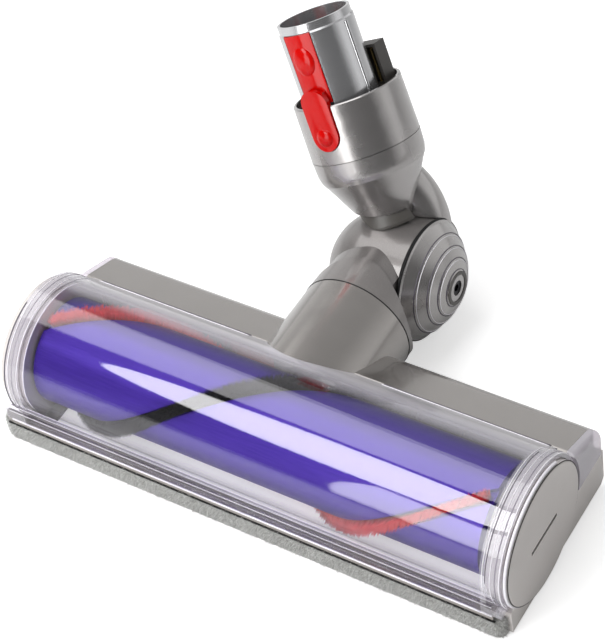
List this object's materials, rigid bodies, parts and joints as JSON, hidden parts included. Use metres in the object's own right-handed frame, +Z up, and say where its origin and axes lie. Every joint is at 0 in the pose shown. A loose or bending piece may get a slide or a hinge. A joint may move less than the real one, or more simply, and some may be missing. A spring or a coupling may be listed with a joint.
{
  "type": "vacuum_floor_head",
  "caption": "Motorized vacuum floor head: clear cover over a turning bristle brush, grey rear housing, swivelling and tilting neck, and a tube with a plug and a red catch.",
  "frame": {"origin": "bottom centre of the bounding box, on the floor", "axes": "+X along the brush towards the end with the slotted lock disc, +Y to the rear where the neck stands, +Z up"},
  "size_m": [0.254, 0.1878, 0.1455],
  "materials": {
    "clear_polycarbonate": "clear injection moulded, polished",
    "warm_grey_abs": "warm metallic grey, injection moulded, glossy",
    "silver_grey_abs": "silver grey with metallic flake, glossy",
    "silver_tube_abs": "bright silver with metallic flake, glossy",
    "pale_grey_abs": "pale warm grey, fine satin grain",
    "dark_nylon": "black glass-filled nylon",
    "grey_nylon": "dark grey glass-filled nylon",
    "red_abs": "red, injection moulded, high gloss",
    "purple_anodised": "purple anodised, satin",
    "red_bristle": "stiff red nylon filaments",
    "black_soft_strip": "soft carbon-fibre filament strip",
    "grey_pile": "short grey pile",
    "motor_steel": "drawn steel can",
    "steel": "turned steel",
    "black_zinc_screw": "black zinc plated",
    "contact_brass": "bright pressed brass"
  },
  "bodies": {
    "head": {"cover": "clear_polycarbonate", "rear_housing": "warm_grey_abs", "soleplate": "pale_grey_abs", "sole_screws": "black_zinc_screw", "front_pile": "grey_pile", "side_panel_right": "pale_grey_abs", "side_panel_left": "pale_grey_abs", "end_window_right": "clear_polycarbonate", "end_window_left": "clear_polycarbonate", "wheel_axles": "steel", "motor": "motor_steel", "gearbox": "grey_nylon"},
    "wheel_r": {"wheel_right": "grey_nylon"},
    "wheel_l": {"wheel_left": "grey_nylon"},
    "end_cap": {"lock_disc": "pale_grey_abs", "lock_spindle": "steel"},
    "brushbar": {"brush_barrel": "purple_anodised", "bristle_strip": "red_bristle", "soft_strip": "black_soft_strip", "brush_plug": "dark_nylon", "brush_bearing": "steel", "drive_hub": "dark_nylon", "drive_shaft": "steel"},
    "swivel": {"knuckle": "warm_grey_abs", "swivel_retainer": "dark_nylon"},
    "upper_neck": {"elbow": "silver_grey_abs", "neck_collar": "dark_nylon", "pivot_cap": "silver_grey_abs", "pivot_ring": "grey_nylon", "pivot_screw": "black_zinc_screw", "cuff": "silver_grey_abs", "tube": "silver_tube_abs", "connector": "grey_nylon", "contacts": "contact_brass"},
    "catch": {"release_catch": "red_abs"}
  },
  "joints": [
    {"name": "brushbar_spin", "type": "hinge", "parent": "head", "child": "brushbar", "pos_m": [0.002, -0.05999, 0.0317], "axis": [1, 0, 0], "continuous": true},
    {"name": "end_cap_turn", "type": "hinge", "parent": "head", "child": "end_cap", "pos_m": [0.122, -0.05999, 0.0317], "axis": [1, 0, 0], "range_deg": [0, 90]},
    {"name": "wheel_right_spin", "type": "hinge", "parent": "head", "child": "wheel_r", "pos_m": [0.064, -0.01649, 0.0065], "axis": [1, 0, 0], "continuous": true},
    {"name": "wheel_left_spin", "type": "hinge", "parent": "head", "child": "wheel_l", "pos_m": [-0.06, -0.01649, 0.0065], "axis": [1, 0, 0], "continuous": true},
    {"name": "neck_swivel", "type": "hinge", "parent": "head", "child": "swivel", "pos_m": [0.002, 0.00701, 0.0302], "axis": [0, 1, 0], "range_deg": [-55, 55]},
    {"name": "neck_pitch", "type": "hinge", "parent": "swivel", "child": "upper_neck", "pos_m": [0.002, 0.04251, 0.0302], "axis": [0.9976, 0, 0.0698], "range_deg": [-50, 15]},
    {"name": "catch_press", "type": "hinge", "parent": "upper_neck", "child": "catch", "pos_m": [-0.04338, 0.06044, 0.13662], "axis": [0.9056, 0.1072, 0.4104], "range_deg": [0, 1.4], "stiffness_Nm_per_rad": 10}
  ]
}
